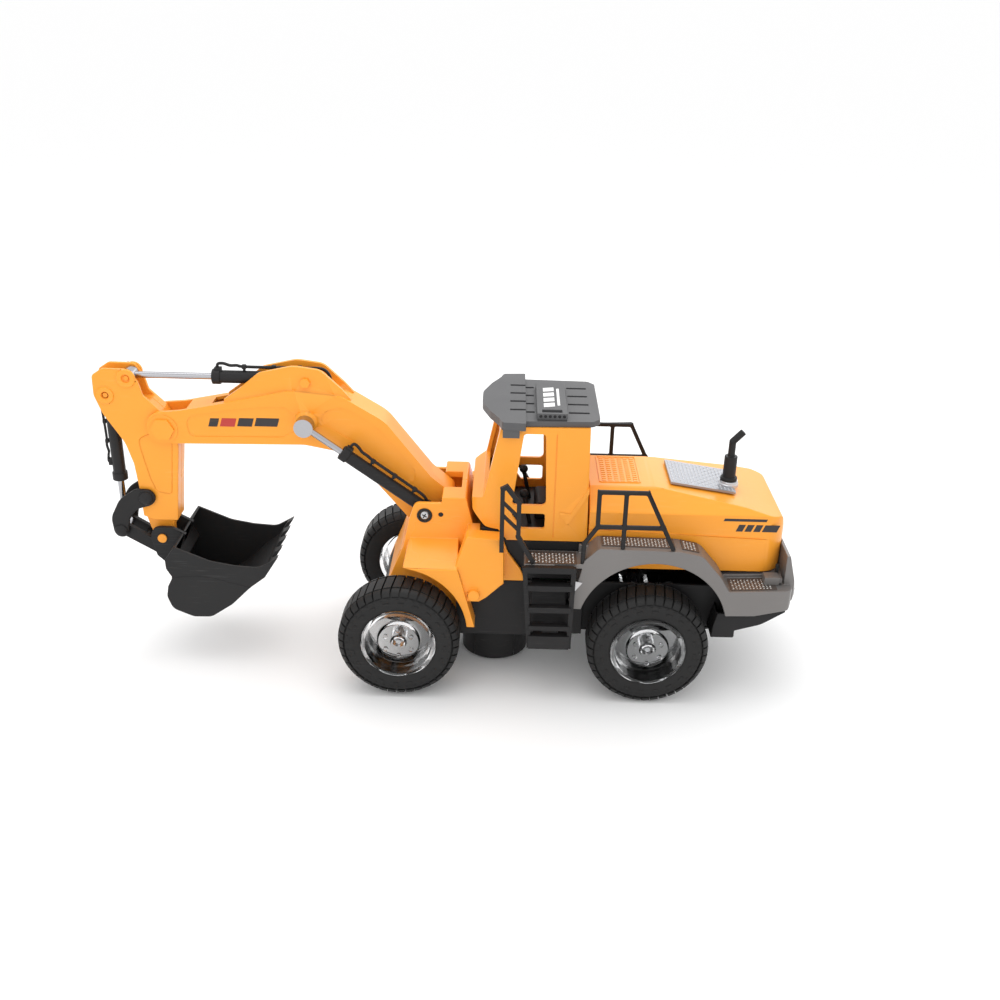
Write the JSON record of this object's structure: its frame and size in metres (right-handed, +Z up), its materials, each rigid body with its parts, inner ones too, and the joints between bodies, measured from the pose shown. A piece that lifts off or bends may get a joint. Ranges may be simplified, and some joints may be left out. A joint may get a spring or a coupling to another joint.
{
  "type": "toy excavator",
  "caption": "Wheeled toy excavator: tractor-style body with cab, hood and ladders, and a hinged boom, stick and bucket moved by dummy rams.",
  "frame": {"origin": "middle of the footprint's bounding box, on the ground", "axes": "+X towards the tail of the truck, the boom reaching towards -X; +Y towards the truck's right side; +Z up"},
  "size_m": [0.432, 0.1314, 0.1961],
  "materials": {
    "yellow_plastic": "moulded orange-yellow ABS, satin gloss",
    "black_plastic": "moulded black plastic, fine matt grain",
    "roof_plastic": "dark grey plastic, satin",
    "grey_plastic": "metallic-grey painted plastic, satin",
    "silver_plastic": "silver plated plastic with raised lozenges",
    "tyre_rubber": "black moulded rubber-like PVC",
    "clear_plastic": "clear polystyrene, glossy, slightly smoky",
    "plated_plastic": "chrome-plated plastic",
    "steel": "bright drawn steel wire and pressed parts",
    "cell_can": "plain metal can",
    "contact_metal": "bare spring brass",
    "board_green": "green solder mask"
  },
  "bodies": {
    "truck": {"chassis": "black_plastic", "battery_box": "black_plastic", "battery_door": "black_plastic", "battery_door_screw": "steel", "battery_cells": "cell_can", "battery_contacts": "contact_metal", "circuit_board": "board_green", "speaker": "black_plastic", "front_body_left": "yellow_plastic", "front_body_right": "yellow_plastic", "tower_pins": "black_plastic", "cab_base": "black_plastic", "cab": "yellow_plastic", "cab_floor": "black_plastic", "seat": "black_plastic", "control_levers": "black_plastic", "roof": "roof_plastic", "roof_plate": "roof_plastic", "hood": "yellow_plastic", "hood_tread_plate": "silver_plastic", "exhaust_stack": "black_plastic", "rear_body": "grey_plastic", "tail_lamps": "grey_plastic", "rail_left": "black_plastic", "rail_right": "black_plastic", "ladder_left": "black_plastic", "ladder_right": "black_plastic", "grab_rail_left": "black_plastic", "grab_rail_right": "black_plastic"},
    "swivel_turret": {"turret_housing": "black_plastic", "drive_motor": "steel"},
    "drive_wheel_set": {"drive_axle": "steel", "drive_wheels": "tyre_rubber"},
    "switch_slider": {"power_switch": "black_plastic"},
    "front_wheel_set": {"front_axle": "steel", "front_tyre_left": "tyre_rubber", "front_tyre_right": "tyre_rubber", "front_rim_left": "clear_plastic", "front_rim_right": "clear_plastic"},
    "rear_wheel_set": {"rear_axle": "steel", "rear_tyre_left": "tyre_rubber", "rear_tyre_right": "tyre_rubber", "rear_rim_left": "clear_plastic", "rear_rim_right": "clear_plastic"},
    "boom": {"boom_left": "yellow_plastic", "boom_right": "yellow_plastic", "boom_pins": "yellow_plastic"},
    "boom_ram_barrels": {"boom_barrels": "black_plastic"},
    "boom_ram_rods": {"boom_rods": "plated_plastic"},
    "stick": {"stick_left": "yellow_plastic", "stick_right": "yellow_plastic", "stick_pins": "yellow_plastic"},
    "stick_ram_barrel": {"stick_barrel": "black_plastic"},
    "stick_ram_rod": {"stick_rod": "plated_plastic"},
    "bucket_ram_barrel": {"bucket_barrel": "black_plastic"},
    "bucket_ram_rod": {"bucket_rod": "plated_plastic"},
    "rocker": {"rocker_links": "black_plastic"},
    "bucket_link": {"link_bars": "black_plastic"},
    "digging_bucket": {"bucket": "black_plastic"}
  },
  "joints": [
    {"name": "boom_hinge", "type": "hinge", "parent": "truck", "child": "boom", "pos_m": [-0.00342, 0, 0.11], "axis": [0, 1, 0], "range_deg": [-10, 25]},
    {"name": "boom_ram_swing", "type": "hinge", "parent": "truck", "child": "boom_ram_barrels", "pos_m": [-0.01342, 0, 0.1095], "axis": [0, 1, 0], "range_deg": [-11.24, 27.35]},
    {"name": "boom_rod_swing", "type": "hinge", "parent": "boom", "child": "boom_ram_rods", "pos_m": [-0.08642, 0, 0.1623], "axis": [0, 1, 0], "range_deg": [-1.24, 2.35]},
    {"name": "stick_hinge", "type": "hinge", "parent": "boom", "child": "stick", "pos_m": [-0.17512, 0, 0.155], "axis": [0, 1, 0], "range_deg": [-22, 18]},
    {"name": "stick_ram_swing", "type": "hinge", "parent": "boom", "child": "stick_ram_barrel", "pos_m": [-0.08642, 0, 0.1863], "axis": [0, 1, 0], "range_deg": [-4.59, 3.85]},
    {"name": "stick_rod_swing", "type": "hinge", "parent": "stick", "child": "stick_ram_rod", "pos_m": [-0.19482, 0, 0.1863], "axis": [0, 1, 0], "range_deg": [-15.15, 18.41]},
    {"name": "bucket_hinge", "type": "hinge", "parent": "stick", "child": "digging_bucket", "pos_m": [-0.18302, 0, 0.08], "axis": [0, 1, 0], "range_deg": [-28, 30]},
    {"name": "rocker_swing", "type": "hinge", "parent": "stick", "child": "rocker", "pos_m": [-0.19042, 0, 0.1078], "axis": [0, 1, 0], "range_deg": [-9.6, 10.25]},
    {"name": "link_swing", "type": "hinge", "parent": "rocker", "child": "bucket_link", "pos_m": [-0.20892, 0, 0.0845], "axis": [0, 1, 0], "range_deg": [-3.36, 3.17]},
    {"name": "bucket_ram_swing", "type": "hinge", "parent": "stick", "child": "bucket_ram_barrel", "pos_m": [-0.20872, 0, 0.1752], "axis": [0, 1, 0], "range_deg": [-2.84, 3.01]},
    {"name": "bucket_rod_swing", "type": "hinge", "parent": "rocker", "child": "bucket_ram_rod", "pos_m": [-0.20892, 0, 0.0845], "axis": [0, 1, 0], "range_deg": [-7.75, 7.26]},
    {"name": "front_axle_spin", "type": "hinge", "parent": "truck", "child": "front_wheel_set", "pos_m": [-0.02762, 0, 0.0388], "axis": [0, 1, 0], "continuous": true},
    {"name": "rear_axle_spin", "type": "hinge", "parent": "truck", "child": "rear_wheel_set", "pos_m": [0.12558, 0, 0.0375], "axis": [0, 1, 0], "continuous": true},
    {"name": "turret_swivel", "type": "hinge", "parent": "truck", "child": "swivel_turret", "pos_m": [0.03108, 0, 0.031], "axis": [0, 0, 1], "continuous": true},
    {"name": "drive_axle_spin", "type": "hinge", "parent": "swivel_turret", "child": "drive_wheel_set", "pos_m": [0.03108, 0, 0.0115], "axis": [0, 1, 0], "continuous": true},
    {"name": "switch_slide", "type": "slide", "parent": "truck", "child": "switch_slider", "axis": [1, 0, 0], "range_m": [0, 0.004]}
  ],
  "couplings": [
    {"joint": "boom_ram_swing", "follows": "boom_hinge", "ratio": 1.074},
    {"joint": "boom_rod_swing", "follows": "boom_hinge", "ratio": 0.074},
    {"joint": "stick_ram_swing", "follows": "stick_hinge", "ratio": 0.186},
    {"joint": "stick_rod_swing", "follows": "stick_hinge", "ratio": -0.814},
    {"joint": "rocker_swing", "follows": "bucket_hinge", "ratio": 0.3251},
    {"joint": "link_swing", "follows": "bucket_hinge", "ratio": -0.0953},
    {"joint": "bucket_ram_swing", "follows": "bucket_hinge", "ratio": 0.0835},
    {"joint": "bucket_rod_swing", "follows": "bucket_hinge", "ratio": -0.2416}
  ]
}
